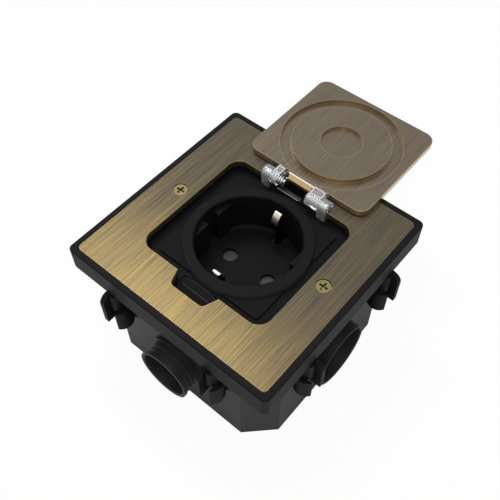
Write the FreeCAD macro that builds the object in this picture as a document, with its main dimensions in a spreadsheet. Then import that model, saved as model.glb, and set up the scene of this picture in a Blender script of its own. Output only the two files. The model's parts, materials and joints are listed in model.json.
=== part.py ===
import FreeCAD, Part
import math
import os
import Sketcher

# Floor socket box: a square back box sunk in the floor, a levelling top frame, a brass cover
# plate, and an earthed socket under a hinged brass lid.  Millimetres, +Z up.  The origin is the
# middle of the back box's underside; the finger pocket faces -Y and the lid hinge is at +Y.
# At rest the lid lies fully open on the plate.

doc = FreeCAD.newDocument("FloorSocketBox")
sheet = doc.addObject("Spreadsheet::Sheet", "Sizes")


# ------------------------------------------------------------------ sizes
class Size:
    """A length that knows both its value and the spreadsheet expression it comes from."""

    def __init__(self, value, text=None):
        self.value = float(value)
        self.text = text if text is not None else repr(float(value))

    @staticmethod
    def of(other):
        return other if isinstance(other, Size) else Size(other)

    def _join(self, sign, other, value):
        return Size(value, "(%s %s %s)" % (self.text, sign, Size.of(other).text))

    def __add__(self, other):
        return self._join("+", other, self.value + Size.of(other).value)

    def __sub__(self, other):
        return self._join("-", other, self.value - Size.of(other).value)

    def __mul__(self, other):
        return self._join("*", other, self.value * Size.of(other).value)

    def __truediv__(self, other):
        return self._join("/", other, self.value / Size.of(other).value)

    def __radd__(self, other):
        return Size.of(other) + self

    def __rsub__(self, other):
        return Size.of(other) - self

    def __rmul__(self, other):
        return Size.of(other) * self

    def __neg__(self):
        return Size(-self.value, "(0 - %s)" % self.text)


def side_of(hypotenuse, leg):
    """The other leg of a right triangle."""
    value = math.sqrt(Size.of(hypotenuse).value ** 2 - Size.of(leg).value ** 2)
    long_side = Size.of(hypotenuse).text
    short_side = Size.of(leg).text
    return Size(value, "sqrt(%s * %s - %s * %s)" % (long_side, long_side, short_side, short_side))


rows = []


def size(alias, value, note):
    """One driving dimension: a row of the sheet with its meaning beside it."""
    rows.append(alias)
    row = str(len(rows))
    sheet.set("A" + row, note)
    sheet.set("B" + row, str(value))
    sheet.setAlias("B" + row, alias)
    return Size(value, "Sizes." + alias)


# Shared clearances
play = size("play", 0.1, "gap between pieces that drop into each other")
run_play = size("run_play", 0.05, "radial running gap of a shaft in its hole")
seat_gap = size("seat_gap", 0.05, "gap between a clamped flange and the piece above it")

# Overall heights
deck = size("deck", 60.2, "height of the plate's top face above the box's underside")
frame_h = size("frame_h", 10.5, "height of the top frame's rim")
box_top = deck - frame_h

# Back box
box_w = size("box_w", 82.7, "outer width of the square back box")
box_corner = size("box_corner", 10.5, "leg of the box's vertical corner chamfers")
box_wall = size("box_wall", 2.5, "wall of the back box")
box_floor = size("box_floor", 3.0, "floor of the back box")
box_half = box_w / 2
bay_half = box_half - box_wall
CHAMFER_STEP = 2 - math.sqrt(2)
bay_corner = box_corner - box_wall * CHAMFER_STEP

# Lugs, two on every wall
lug_pitch = size("lug_pitch", 46.8, "distance between the flat sides of a wall's two bosses")
lug_reach = size("lug_reach", 49.0, "distance of the bosses' outer corner from the box's middle")
lug_root = size("lug_root", 0.8, "width of a boss where it leaves the wall")
lug_bulge_r = size("lug_bulge_r", 4.6, "radius of a boss's rounded side")
lug_boss_top = size("lug_boss_top", 19.3, "depth of the bosses' top below the deck")
lug_boss_end = size("lug_boss_end", 29.8, "depth of the bosses' lower end below the deck")
post_in = size("post_in", 1.4, "how far a post stays inside the boss's outer corner")
post_near = size("post_near", 0.6, "how far a post reaches over its boss")
post_far = size("post_far", 2.3, "how far a post reaches past the boss's flat side")
post_r = size("post_r", 2.6, "rounding of a post's outer corner")
hook_offset = size("hook_offset", 3.9, "distance of a hook plate from the boss's flat side")
hook_t = size("hook_t", 2.0, "thickness of a hook plate")
hook_over = size("hook_over", 1.4, "how far the hooks reach past the bosses")
hook_end = size("hook_end", 25.5, "depth of the hooks' lower end below the deck")
hook_r = size("hook_r", 4.0, "rounding of a hook's outer top corner")

# Conduit sleeves
spout_depth = size("spout_depth", 36.8, "depth of the front sleeve's axis below the deck")
spout_bore = size("spout_bore", 10.05, "bore radius of the front sleeve")
spout_r = size("spout_r", 10.8, "barrel radius of the front sleeve")
spout_reach = size("spout_reach", 49.9, "distance of the front sleeve's mouth from the middle")
spout_lip_r = size("spout_lip_r", 11.4, "radius of the front sleeve's mouth flange")
spout_lip_t = size("spout_lip_t", 1.2, "thickness of the front sleeve's mouth flange")
spout_collar_r = size("spout_collar_r", 12.2, "radius of the front sleeve's collar")
spout_collar_t = size("spout_collar_t", 1.5, "thickness of the front sleeve's collar")
spout_ring = size("spout_ring", 0.25, "height of the two fine rings round the barrel")
snap_t = size("snap_t", 1.3, "thickness of a sleeve's snap ring inside the box")
snap_step = size("snap_step", 1.0, "height of a sleeve's snap ring")
entry_depth = size("entry_depth", 37.0, "depth of the side sleeve's axis below the deck")
entry_bore = size("entry_bore", 12.6, "bore radius of the side sleeve")
entry_r = size("entry_r", 13.5, "outer radius of the side sleeve")
entry_neck_r = size("entry_neck_r", 13.2, "radius of the side sleeve where it passes the wall")
entry_reach = size("entry_reach", 46.55, "distance of the side sleeve's mouth from the middle")

# Top frame
rim_t = size("rim_t", 2.23, "visible width of the frame's rim")
frame_r = size("frame_r", 2.4, "outer corner radius of the frame")
frame_edge = size("frame_edge", 0.4, "bevel of the frame's outer edges")
ledge_t = size("ledge_t", 3.0, "thickness of the ledge that carries the plate")
step_t = size("step_t", 2.0, "thickness of the step that carries the tray")
step_w = size("step_w", 2.0, "width of the step that carries the tray")
lip_t = size("lip_t", 2.0, "thickness of the lip that enters the box")
lip_h = size("lip_h", 2.5, "height of the lip that enters the box")

# Cover plate and its gasket
plate_w = size("plate_w", 88.4, "width of the square cover plate")
plate_t = size("plate_t", 3.0, "thickness of the cover plate")
plate_r = size("plate_r", 2.05, "corner radius of the cover plate")
plate_edge = size("plate_edge", 0.3, "bevel of the plate's top outer edge")
mouth_x = size("mouth_x", 28.45, "half width of the plate's opening")
mouth_front = size("mouth_front", 27.1, "distance of the opening's front edge from the middle")
mouth_back = size("mouth_back", 27.0, "distance of the opening's back edge from the middle")
mouth_r = size("mouth_r", 5.2, "corner radius of the plate's opening")
tab_root = size("tab_root", 9.6, "half width of the finger pocket where it meets the opening")
tab_tip = size("tab_tip", 8.0, "half width of the finger pocket at its front")
tab_front = size("tab_front", 33.2, "distance of the finger pocket's front from the middle")
tab_r = size("tab_r", 2.0, "corner radius of the finger pocket")
notch_x = size("notch_x", 15.7, "half width of the hinge notch")
notch_back = size("notch_back", 31.9, "distance of the hinge notch's back from the middle")
gasket_t = size("gasket_t", 0.8, "thickness of the gasket under the plate")
gasket_inset = size("gasket_inset", 0.4, "how far the gasket stays inside the plate's edge")
plate_screw_x = size("plate_screw_x", 34.1, "distance of the plate screws from the middle")
plate_sink_r = size("plate_sink_r", 3.15, "radius of the counterbore round a plate screw")
plate_sink_h = size("plate_sink_h", 2.0, "depth of that counterbore")
plate_head_r = size("plate_head_r", 2.8, "head radius of a plate screw")
plate_head_h = size("plate_head_h", 1.8, "head height of a plate screw")
plate_shank_r = size("plate_shank_r", 1.5, "shank radius of a plate screw")
plate_screw_end = size("plate_screw_end", 12.0, "depth of a plate screw's point below the deck")
plate_boss_r = size("plate_boss_r", 3.2, "radius of the frame's boss under a plate screw")

# Tray that carries socket, hinge and lifting lever
tray_x = size("tray_x", 30.8, "half width of the tray's flange")
tray_y = size("tray_y", 35.3, "half length of the tray's flange")
tray_well_h = size("tray_well_h", 2.2, "depth of the tray's well below its flange")
tray_r = size("tray_r", 2.9, "corner radius of the tray")
pad_half = size("pad_half", 23.4, "half width of the raised square round the socket")
pad_depth = size("pad_depth", 4.0, "depth of the raised square's face below the deck")
moat_depth = size("moat_depth", 5.0, "depth of the border round the raised square")
moat_over = size("moat_over", 0.45, "how far the tray's border runs under the plate")
beam_depth = size("beam_depth", 4.0, "depth of the hinge beam's top below the deck")
beam_front = size("beam_front", 27.0, "distance of the hinge beam's front from the middle")
beam_w = size("beam_w", 2.2, "width of the hinge beam")
trough_depth = size("trough_depth", 5.6, "depth of the trough behind the hinge beam")
flange_top = plate_t + seat_gap
flange_under = plate_t + gasket_t + ledge_t
well_under = flange_under + tray_well_h

# Lifting lever in the finger pocket
lever_x = size("lever_x", 7.5, "half width of the lifting lever")
lever_axis_y = size("lever_axis_y", 28.8, "distance of the lever's axis from the middle")
lever_axis_depth = size("lever_axis_depth", 6.1, "depth of the lever's axis below the deck")
lever_crest = size("lever_crest", 4.1, "depth of the lever's crest below the deck")
lever_back = size("lever_back", 25.6, "distance of the lever's round back edge from the middle")
lever_front = size("lever_front", 31.6, "distance of the lever's front edge from the middle")
lever_drop = size("lever_drop", 0.8, "fall of the lever's finger face")
lever_t = size("lever_t", 1.2, "thickness of the lever's blade")
lever_bulge = size("lever_bulge", 1.0, "bulge of the lever's back edge")
lever_pin_r = size("lever_pin_r", 0.8, "radius of the lever's pin")
lever_pin_half = size("lever_pin_half", 10.2, "half length of the lever's pin")
lever_hub_r = size("lever_hub_r", 1.5, "radius of the lever's hub")
lever_pit_x = size("lever_pit_x", 8.3, "half width of the lever's pit in the tray")
lever_pit_front = size("lever_pit_front", 32.3, "distance of the pit's front from the middle")
lever_pit_back = size("lever_pit_back", 25.2, "distance of the pit's back from the middle")
lever_pit_depth = size("lever_pit_depth", 8.2, "depth of the pit's floor below the deck")
lever_spring_r = size("lever_spring_r", 0.55, "coil radius of the lever's spring")
lever_wire_r = size("lever_wire_r", 0.15, "wire radius of the lever's spring")
lever_spring_y = size("lever_spring_y", 31.1, "distance of the lever's spring from the middle")

# Socket cup
cup_r = size("cup_r", 20.3, "radius of the plug recess")
collar_r = size("collar_r", 24.35, "outer radius of the socket's collar")
collar_top = size("collar_top", 1.7, "depth of the collar's face below the deck")
collar_edge = size("collar_edge", 0.55, "width of the taper round the collar, clear of the lid's swing")
collar_taper = size("collar_taper", 1.1, "height of that taper")
cup_depth = size("cup_depth", 20.8, "depth of the recess floor below the deck")
cup_floor = size("cup_floor", 1.4, "thickness of the recess floor")
cup_wall = size("cup_wall", 2.5, "wall of the cup below its flange")
cup_cove = size("cup_cove", 1.0, "cove between the recess wall and floor")
cup_flange_t = size("cup_flange_t", 2.0, "thickness of the cup's square flange")
rib_x = size("rib_x", 17.4, "distance of the guide ribs' flat face from the middle")
rib_top = size("rib_top", 5.0, "depth of the guide ribs' top below the deck")
rib_notch = size("rib_notch", 2.9, "half width of the notch in each guide rib")
pin_pitch = size("pin_pitch", 19.0, "distance between the two pin holes")
pin_hole_r = size("pin_hole_r", 3.0, "radius of the pin holes")
clip_slot_x = size("clip_slot_x", 2.45, "half width of the earth clips' slots")
clip_slot_in = size("clip_slot_in", 15.7, "distance of the slots' inner end from the middle")
collar_in_chamfer = size("collar_in_chamfer", 0.5, "bevel of the recess mouth")
corner_screw = size("corner_screw", 19.6, "distance of the socket screws from both centre lines")
small_head_r = size("small_head_r", 2.4, "head radius of the socket and base screws")
small_head_h = size("small_head_h", 1.4, "head height of the socket and base screws")
small_shank_r = size("small_shank_r", 1.2, "shank radius of the socket and base screws")
base_screw_x = size("base_screw_x", 19.6, "distance of the base screws from the middle, along X")
base_screw_y = size("base_screw_y", 6.3, "distance of the base screws from the middle, along Y")
base_screw_depth = size("base_screw_depth", 15.0, "depth of the base screws' tips below the deck")

# Shutter
shutter_t = size("shutter_t", 1.1, "thickness of the shutter")
shutter_pad_r = size("shutter_pad_r", 4.2, "radius of the shutter's two discs")
shutter_arm = size("shutter_arm", 2.2, "half width of the shutter's arms")
shutter_hub_r = size("shutter_hub_r", 3.2, "radius of the shutter's hub")
shutter_pin_r = size("shutter_pin_r", 1.5, "radius of the stub the shutter turns on")
shutter_room = size("shutter_room", 1.4, "height of the space under the recess floor")

# Earth clips
strap_t = size("strap_t", 0.8, "thickness of the earth strap")
strap_x = size("strap_x", 1.5, "half width of the earth strap")
strap_reach = size("strap_reach", 19.0, "distance of the strap's upright arms from the middle")
clip_foot = size("clip_foot", 16.0, "depth where the clips start to bow, below the deck")
clip_top = size("clip_top", 3.9, "depth of the clips' tips below the deck")
clip_tip = size("clip_tip", 18.1, "distance of the clips' tips from the middle")
clip_bow_r = size("clip_bow_r", 8.1, "bow radius of the clips")

# Contact base, contacts and terminals
base_depth = size("base_depth", 38.0, "depth of the contact base's underside below the deck")
base_floor = size("base_floor", 2.0, "floor of the contact base")
contact_r = size("contact_r", 3.3, "outer radius of a contact tulip")
contact_bore = size("contact_bore", 2.45, "bore radius of a contact tulip")
contact_top = size("contact_top", 24.8, "depth of the tulips' mouth below the deck")
contact_slit = size("contact_slit", 0.8, "width of the slits in a tulip")
slit_rise = size("slit_rise", 2.5, "height of the slits' lower end over the foot")
contact_room = size("contact_room", 1.1, "gap round a tulip in its chamber")
foot_t = size("foot_t", 0.8, "thickness of a contact's foot")
foot_y = size("foot_y", 2.5, "half width of a contact's foot")
block_x = size("block_x", 16.6, "distance of the live terminals from the middle")
block_y = size("block_y", 12.6, "distance of the earth terminal from the middle")
block_half = size("block_half", 3.1, "half width of a terminal block")
block_long = size("block_long", 3.5, "half length of a terminal block")
block_top = size("block_top", 28.0, "depth of the live terminals' top below the deck")
block_gap = size("block_gap", 0.4, "gap round a terminal block in its chamber")
wire_depth = size("wire_depth", 31.5, "depth of the wire bores below the deck")
wire_r = size("wire_r", 1.9, "radius of the wire bores")
grub_r = size("grub_r", 1.5, "radius of a terminal screw")
grub_len = size("grub_len", 4.6, "length of a terminal screw")
grub_slot = size("grub_slot", 0.6, "width of a terminal screw's slot")

# Lid and hinge
lid_x = size("lid_x", 27.85, "half width of the lid")
lid_t = size("lid_t", 3.0, "thickness of the lid")
lid_near = size("lid_near", 3.94, "distance from the hinge axis to the lid's near edge")
lid_far = size("lid_far", 55.24, "distance from the hinge axis to the lid's far edge")
lid_r = size("lid_r", 4.6, "corner radius of the lid")
lid_edge = size("lid_edge", 0.3, "bevel of the lid's edges")
hinge_y = size("hinge_y", 28.66, "distance of the hinge axis from the middle")
hinge_up = size("hinge_up", 0.05, "height of the hinge axis above the deck")
ring_out = size("ring_out", 24.6, "outer radius of the channel in the lid's underside")
ring_in = size("ring_in", 20.1, "inner radius of that channel")
ring_deep = size("ring_deep", 1.6, "depth of that channel")
disc_proud = size("disc_proud", 0.5, "how far the disc inside the channel stands proud")
dish_r = size("dish_r", 8.5, "radius of the shallow dish in the disc")
dish_deep = size("dish_deep", 1.3, "depth of that dish")
tongue_left = size("tongue_left", 7.0, "left end of the lid's tongue")
tongue_right = size("tongue_right", 5.4, "right end of the lid's tongue")
tongue_long = size("tongue_long", 1.4, "length of the lid's tongue")
knuckle_r = size("knuckle_r", 3.0, "radius of the hinge knuckles")
knuckle_out = size("knuckle_out", 15.3, "outer end of the knuckles from the middle")
knuckle_split = size("knuckle_split", 11.65, "joint between fixed and moving knuckle")
left_in = size("left_in", 8.1, "inner end of the left moving knuckle")
right_in = size("right_in", 5.7, "inner end of the right moving knuckle")
knuckle_gap = size("knuckle_gap", 0.1, "gap between fixed and moving knuckles")
hinge_pin_r = size("hinge_pin_r", 1.0, "radius of the hinge pins")
foot_front = size("foot_front", 2.7, "reach of a hinge bracket's foot in front of the axis")
foot_back = size("foot_back", 2.6, "reach of a hinge bracket's foot behind the axis")
coil_r = size("coil_r", 1.8, "mean radius of the lid spring's coil")
coil_wire_r = size("coil_wire_r", 0.26, "wire radius of the lid spring")
coil_pitch = size("coil_pitch", 0.62, "pitch of the lid spring")
coil_end = size("coil_end", 5.6, "inner end of the left hinge pin")
coil_chamber_r = size("coil_chamber_r", 2.35, "radius of the coil's chamber in the left knuckle")
coil_chamber = size("coil_chamber", 2.3, "length of that chamber")
lid_drop = size("lid_drop", 0.1, "gap between the open lid and the plate")

sheet.recompute()
doc.recompute()


# ------------------------------------------------------------------ drawing helpers
def bind(thing, path, value):
    """Ties a property to a size; a plain number stays a number."""
    value = Size.of(value)
    if "Sizes." in value.text:
        thing.setExpression(path, value.text)


def point(entry):
    return FreeCAD.Vector(Size.of(entry[0]).value, Size.of(entry[1]).value, 0)


def round_rect(x0, x1, y0, y1, r):
    """Closed outline of a rectangle with round corners, counter-clockwise."""
    return [(x0 + r, y0, r), (x1 - r, y0), (x1, y0 + r, r), (x1, y1 - r),
            (x1 - r, y1, r), (x0 + r, y1), (x0, y1 - r, r), (x0, y0 + r)]


def centred(half_x, half_y, r):
    half_x = Size.of(half_x)
    half_y = Size.of(half_y)
    return round_rect(-half_x, half_x, -half_y, half_y, r)


def rect(x0, x1, y0, y1):
    return [(x0, y0), (x1, y0), (x1, y1), (x0, y1)]


def octagon(half, leg):
    """Square outline with its corners cut off."""
    near = half - leg
    return [(-near, -half), (near, -half), (half, -near), (half, near),
            (near, half), (-near, half), (-half, near), (-half, -near)]


def ring(x, y, r):
    return ("circle", x, y, r)


def draw_loop(sketch, loop):
    """Adds one closed outline.  An entry (x, y, r) is reached by an arc of radius r that
    turns left; a negative r turns right."""
    if loop[0] == "circle":
        centre = point(loop[1:3])
        radius = Size.of(loop[3])
        geo = sketch.addGeometry(Part.Circle(centre, FreeCAD.Vector(0, 0, 1), radius.value), False)
        for kind, entry in (("DistanceX", loop[1]), ("DistanceY", loop[2])):
            entry = Size.of(entry)
            index = sketch.addConstraint(Sketcher.Constraint(kind, -1, 1, geo, 3, entry.value))
            bind(sketch, "Constraints[%d]" % index, entry)
        index = sketch.addConstraint(Sketcher.Constraint("Radius", geo, radius.value))
        bind(sketch, "Constraints[%d]" % index, radius)
        return
    ends = []
    for at, entry in enumerate(loop):
        start = point(loop[at - 1])
        stop = point(entry)
        if len(entry) == 2:
            ends.append((sketch.addGeometry(Part.LineSegment(start, stop), False), 1, 2))
            continue
        radius = Size.of(entry[2])
        reach = abs(radius.value)
        chord = stop - start
        rise = math.sqrt(max(reach ** 2 - (chord.Length / 2) ** 2, 0.0))
        side = FreeCAD.Vector(-chord.y, chord.x, 0).normalize()
        left_turn = radius.value > 0
        centre = (start + stop) * 0.5 + side * (rise if left_turn else -rise)
        first = start if left_turn else stop
        last = stop if left_turn else start
        angle0 = math.atan2(first.y - centre.y, first.x - centre.x)
        angle1 = math.atan2(last.y - centre.y, last.x - centre.x)
        arc = Part.ArcOfCircle(Part.Circle(centre, FreeCAD.Vector(0, 0, 1), reach), angle0, angle1)
        geo = sketch.addGeometry(arc, False)
        ends.append((geo, 1, 2) if left_turn else (geo, 2, 1))
        index = sketch.addConstraint(Sketcher.Constraint("Radius", geo, reach))
        bind(sketch, "Constraints[%d]" % index, radius if left_turn else -radius)
    for at, (geo, _, tail) in enumerate(ends):
        following = ends[(at + 1) % len(ends)]
        sketch.addConstraint(Sketcher.Constraint("Coincident", geo, tail, following[0], following[1]))
        for kind, entry in (("DistanceX", loop[at][0]), ("DistanceY", loop[at][1])):
            entry = Size.of(entry)
            index = sketch.addConstraint(Sketcher.Constraint(kind, -1, 1, geo, tail, entry.value))
            bind(sketch, "Constraints[%d]" % index, entry)


class Solid:
    """A PartDesign body built from sketches on its own origin planes."""

    ROLE = {"z": "XY_Plane", "y": "XZ_Plane", "x": "YZ_Plane"}

    def __init__(self, label):
        self.body = doc.addObject("PartDesign::Body", label)
        self.body.Label = label
        self.count = 0

    def sketch(self, axis, level, loops, across=0, along=0):
        """A sketch square to an axis at a level.  'across' and 'along' shift its own origin."""
        self.count += 1
        name = "%s_sketch%d" % (self.body.Name, self.count)
        sketch = self.body.newObject("Sketcher::SketchObject", name)
        planes = [item for item in self.body.Origin.OriginFeatures if item.Role == self.ROLE[axis]]
        sketch.AttachmentSupport = (planes[0], [""])
        sketch.MapMode = "FlatFace"
        level = -Size.of(level) if axis == "y" else Size.of(level)
        across = Size.of(across)
        along = Size.of(along)
        sketch.AttachmentOffset = FreeCAD.Placement(
            FreeCAD.Vector(across.value, along.value, level.value), FreeCAD.Rotation())
        bind(sketch, "AttachmentOffset.Base.x", across)
        bind(sketch, "AttachmentOffset.Base.y", along)
        bind(sketch, "AttachmentOffset.Base.z", level)
        for loop in loops:
            draw_loop(sketch, loop)
        sketch.Visibility = False
        return sketch

    def _feature(self, kind, sketch, length):
        feature = self.body.newObject("PartDesign::" + kind, "%s_%s%d" % (self.body.Name, kind, self.count))
        feature.Profile = sketch
        feature.Length = Size.of(length).value
        bind(feature, "Length", length)
        return feature

    def pad(self, axis, low, high, *loops):
        """Adds material between two levels of an axis."""
        start = high if axis == "y" else low
        return self._feature("Pad", self.sketch(axis, start, loops), Size.of(high) - low)

    def cut(self, axis, low, high, *loops):
        """Removes material between two levels of an axis."""
        start = low if axis == "y" else high
        return self._feature("Pocket", self.sketch(axis, start, loops), Size.of(high) - low)

    def turn(self, axis, loops, spin="V_Axis", across=0, along=0, kind="Revolution"):
        """Turns an outline about an axis of its own sketch."""
        sketch = self.sketch(axis, 0, loops, across, along)
        feature = self.body.newObject("PartDesign::" + kind, "%s_%s%d" % (self.body.Name, kind, self.count))
        feature.Profile = sketch
        feature.ReferenceAxis = (sketch, [spin])
        feature.Angle = 360.0
        return feature

    def bevel(self, width, chosen):
        """Bevels the edges of the present shape that the given test picks."""
        doc.recompute()
        tip = self.body.Tip
        names = ["Edge%d" % (at + 1) for at, edge in enumerate(tip.Shape.Edges) if chosen(edge)]
        feature = self.body.newObject("PartDesign::Chamfer", "%s_bevel" % self.body.Name)
        feature.Base = (tip, names)
        feature.Size = width.value
        bind(feature, "Size", width)
        return feature


def place(item, x, y, z):
    item.Placement.Base = FreeCAD.Vector(Size.of(x).value, Size.of(y).value, Size.of(z).value)
    bind(item, "Placement.Base.x", x)
    bind(item, "Placement.Base.y", y)
    bind(item, "Placement.Base.z", z)


def cylinder(name, radius, length, x, y, z, axis="z"):
    """Cylinder that starts at a point and runs along +axis."""
    item = doc.addObject("Part::Cylinder", name)
    item.Radius = Size.of(radius).value
    item.Height = Size.of(length).value
    bind(item, "Radius", radius)
    bind(item, "Height", length)
    if axis == "x":
        item.Placement.Rotation = FreeCAD.Rotation(FreeCAD.Vector(0, 1, 0), 90)
    if axis == "y":
        item.Placement.Rotation = FreeCAD.Rotation(FreeCAD.Vector(1, 0, 0), -90)
    place(item, x, y, z)
    return item


def block(name, x0, x1, y0, y1, z0, z1):
    item = doc.addObject("Part::Box", name)
    for path, low, high in (("Length", x0, x1), ("Width", y0, y1), ("Height", z0, z1)):
        extent = Size.of(high) - low
        setattr(item, path, extent.value)
        bind(item, path, extent)
    place(item, x0, y0, z0)
    return item


def fuse(label, items):
    item = doc.addObject("Part::MultiFuse", label)
    item.Shapes = items
    item.Label = label
    return item


def cut(label, base, tools):
    tool = tools[0] if len(tools) == 1 else fuse(label + "_tools", tools)
    item = doc.addObject("Part::Cut", label)
    item.Base = base
    item.Tool = tool
    item.Label = label
    return item


def screws(label, spots, head_low, head_r, head_h, shank_r, point_z, head_up):
    """Cross-recess screws, one solid each.  head_low is the level of the head's seat."""
    bodies = []
    recesses = []
    for at, (x, y) in enumerate(spots):
        tag = "%s_%d" % (label, at + 1)
        if head_up:
            head = cylinder(tag + "_head", head_r, head_h, x, y, head_low)
            shank = cylinder(tag + "_shank", shank_r, head_low - point_z, x, y, point_z)
            top = head_low + head_h
            low = top - head_h * 0.6
        else:
            head = cylinder(tag + "_head", head_r, head_h, x, y, head_low - head_h)
            shank = cylinder(tag + "_shank", shank_r, point_z - head_low, x, y, head_low)
            low = head_low - head_h
            top = low + head_h * 0.6
        bodies.extend([head, shank])
        arm = head_r * 0.62
        slot = head_r * 0.15
        recesses.append(block(tag + "_cross_a", x - arm, x + arm, y - slot, y + slot, low, top))
        recesses.append(block(tag + "_cross_b", x - slot, x + slot, y - arm, y + arm, low, top))
    return cut(label, fuse(label + "_blank", bodies), recesses)


def four(x, y):
    return [(x, y), (-x, y), (-x, -y), (x, -y)]


lug_half = lug_pitch / 2
zero = Size(0)
COIL_STEPS = 12

# ------------------------------------------------------------------ back box
back_box = Solid("back_box")
back_box.pad("z", zero, box_top, octagon(box_half, box_corner))
back_box.cut("z", box_floor, box_top, octagon(bay_half, bay_corner))
back_box.cut("y", -box_half - 1, -bay_half + 1, ring(0, deck - spout_depth, spout_r + play))
back_box.cut("x", bay_half - 1, box_half + 1, ring(0, deck - entry_depth, entry_neck_r + play))

# Bosses on the outside of the box's walls: flat on one side, rounded on the other
boss_low = deck - lug_boss_end
boss_high = deck - lug_boss_top
box_bosses = Solid("box_bosses")
for flat in (lug_half, -lug_half):
    box_bosses.pad("z", boss_low, boss_high, [
        (flat, -box_half), (flat, -lug_reach), (flat + lug_root, -box_half, lug_bulge_r)])
    box_bosses.pad("z", boss_low, boss_high, [
        (-flat, box_half), (-flat, lug_reach), (-flat - lug_root, box_half, lug_bulge_r)])
    box_bosses.pad("z", boss_low, boss_high, [
        (box_half, flat - lug_root), (lug_reach, flat, lug_bulge_r), (box_half, flat)])
    box_bosses.pad("z", boss_low, boss_high, [
        (-box_half, -flat + lug_root), (-lug_reach, -flat, lug_bulge_r), (-box_half, -flat)])

# ------------------------------------------------------------------ conduit sleeves
# Outlines are drawn as (distance from the box's middle, radius).
snap_in = bay_half - play
spout_end = spout_reach - spout_lip_t
ring_one = (box_half + spout_collar_t) * 0.6 + spout_end * 0.4
ring_two = (box_half + spout_collar_t) * 0.25 + spout_end * 0.75
ring_half = spout_ring
front_profile = [
    (snap_in - snap_t, spout_bore), (spout_reach - 0.4, spout_bore), (spout_reach, spout_bore + 0.4),
    (spout_reach, spout_lip_r), (spout_end, spout_lip_r), (spout_end, spout_r),
    (ring_two + ring_half, spout_r), (ring_two, spout_r + spout_ring), (ring_two - ring_half, spout_r),
    (ring_one + ring_half, spout_r), (ring_one, spout_r + spout_ring), (ring_one - ring_half, spout_r),
    (box_half + spout_collar_t, spout_r), (box_half + spout_collar_t, spout_collar_r),
    (box_half, spout_collar_r), (box_half, spout_r), (snap_in, spout_r),
    (snap_in, spout_r + snap_step), (snap_in - snap_t, spout_r + snap_step)]
conduit_sleeve_front = Solid("conduit_sleeve_front")
conduit_sleeve_front.turn("x", [[(-s, r) for s, r in front_profile]], "H_Axis", 0, deck - spout_depth)

side_profile = [
    (snap_in - snap_t, entry_bore), (entry_reach - 0.3, entry_bore), (entry_reach, entry_bore + 0.3),
    (entry_reach, entry_r), (box_half, entry_r), (box_half, entry_neck_r), (snap_in, entry_neck_r),
    (snap_in, entry_neck_r + snap_step), (snap_in - snap_t, entry_neck_r + snap_step)]
conduit_sleeve_side = Solid("conduit_sleeve_side")
conduit_sleeve_side.turn("y", [side_profile], "H_Axis", 0, deck - entry_depth)

# ------------------------------------------------------------------ top frame
plate_half = plate_w / 2
frame_half = plate_half + play + rim_t
ledge_z = deck - plate_t - gasket_t
step_z = deck - flange_under
step_low = step_z - step_t
tray_hole_x = tray_x + play * 2
tray_hole_y = tray_y + play * 2
lip_half = bay_half - play
lip_in = lip_half - lip_t
lip_in_corner = bay_corner - lip_t * CHAMFER_STEP
top_frame = Solid("top_frame")
top_frame.pad("z", box_top, deck, centred(frame_half, frame_half, frame_r))
top_frame.bevel(frame_edge, lambda edge: edge.BoundBox.ZLength < 0.01)
top_frame.pad("z", box_top - lip_h, box_top, octagon(lip_half, bay_corner))
top_frame.cut("z", ledge_z, deck, centred(plate_half + play, plate_half + play, plate_r + play))
top_frame.cut("z", step_z, ledge_z, centred(tray_hole_x, tray_hole_y, tray_r + play))
well_hole_x = tray_hole_x - step_w
well_hole_y = tray_hole_y - step_w
top_frame.cut("z", step_low, step_z, centred(well_hole_x, well_hole_y, tray_r))
top_frame.cut("z", box_top - lip_h, step_low, octagon(lip_in, lip_in_corner))
plate_spots = [(plate_screw_x, zero), (-plate_screw_x, zero)]
plate_pilot_low = deck - plate_screw_end - 0.5
top_frame.pad("z", plate_pilot_low - 0.6, step_low + 0.5, *[ring(x, y, plate_boss_r) for x, y in plate_spots])
top_frame.cut("z", plate_pilot_low, ledge_z, *[ring(x, y, plate_shank_r + run_play) for x, y in plate_spots])

# Posts over the bosses and hook plates beside them
post_low = deck - lug_boss_top
post_out = lug_reach - post_in
post_root = box_half + play * 3
frame_posts = Solid("frame_posts")
for flat in (lug_half, -lug_half):
    near = flat + post_near
    far = flat - post_far
    frame_posts.pad("z", post_low, box_top, [
        (far, -post_root), (far, -post_out), (near - post_r, -post_out),
        (near, -(post_out - post_r), post_r), (near, -post_root)])
    frame_posts.pad("z", post_low, box_top, [
        (-far, post_root), (-far, post_out), (-(near - post_r), post_out),
        (-near, post_out - post_r, post_r), (-near, post_root)])
    near = flat - post_near
    far = flat + post_far
    frame_posts.pad("z", post_low, box_top, [
        (post_root, near), (post_out - post_r, near), (post_out, near + post_r, post_r),
        (post_out, far), (post_root, far)])
    frame_posts.pad("z", post_low, box_top, [
        (-post_root, -near), (-(post_out - post_r), -near), (-post_out, -(near + post_r), post_r),
        (-post_out, -far), (-post_root, -far)])
frame_hooks = Solid("frame_hooks")
hook_low = deck - hook_end
hook_reach = lug_reach + hook_over
hook_in = box_half + play * 3
hook_line = [(hook_in, box_top), (hook_in, hook_low), (hook_reach, hook_low),
             (hook_reach, box_top - hook_r), (hook_reach - hook_r, box_top, hook_r)]
hook_back = [(-hook_in, box_top), (-(hook_reach - hook_r), box_top),
             (-hook_reach, box_top - hook_r, hook_r), (-hook_reach, hook_low), (-hook_in, hook_low)]
hook_mid = hook_t / 2
for lug in (lug_half, -lug_half):
    middle = lug - hook_offset
    frame_hooks.pad("x", middle - hook_mid, middle + hook_mid, hook_back)
    frame_hooks.pad("x", -middle - hook_mid, -middle + hook_mid, hook_line)
    middle = lug + hook_offset
    frame_hooks.pad("y", middle - hook_mid, middle + hook_mid, hook_line)
    frame_hooks.pad("y", -middle - hook_mid, -middle + hook_mid, hook_back)

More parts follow.
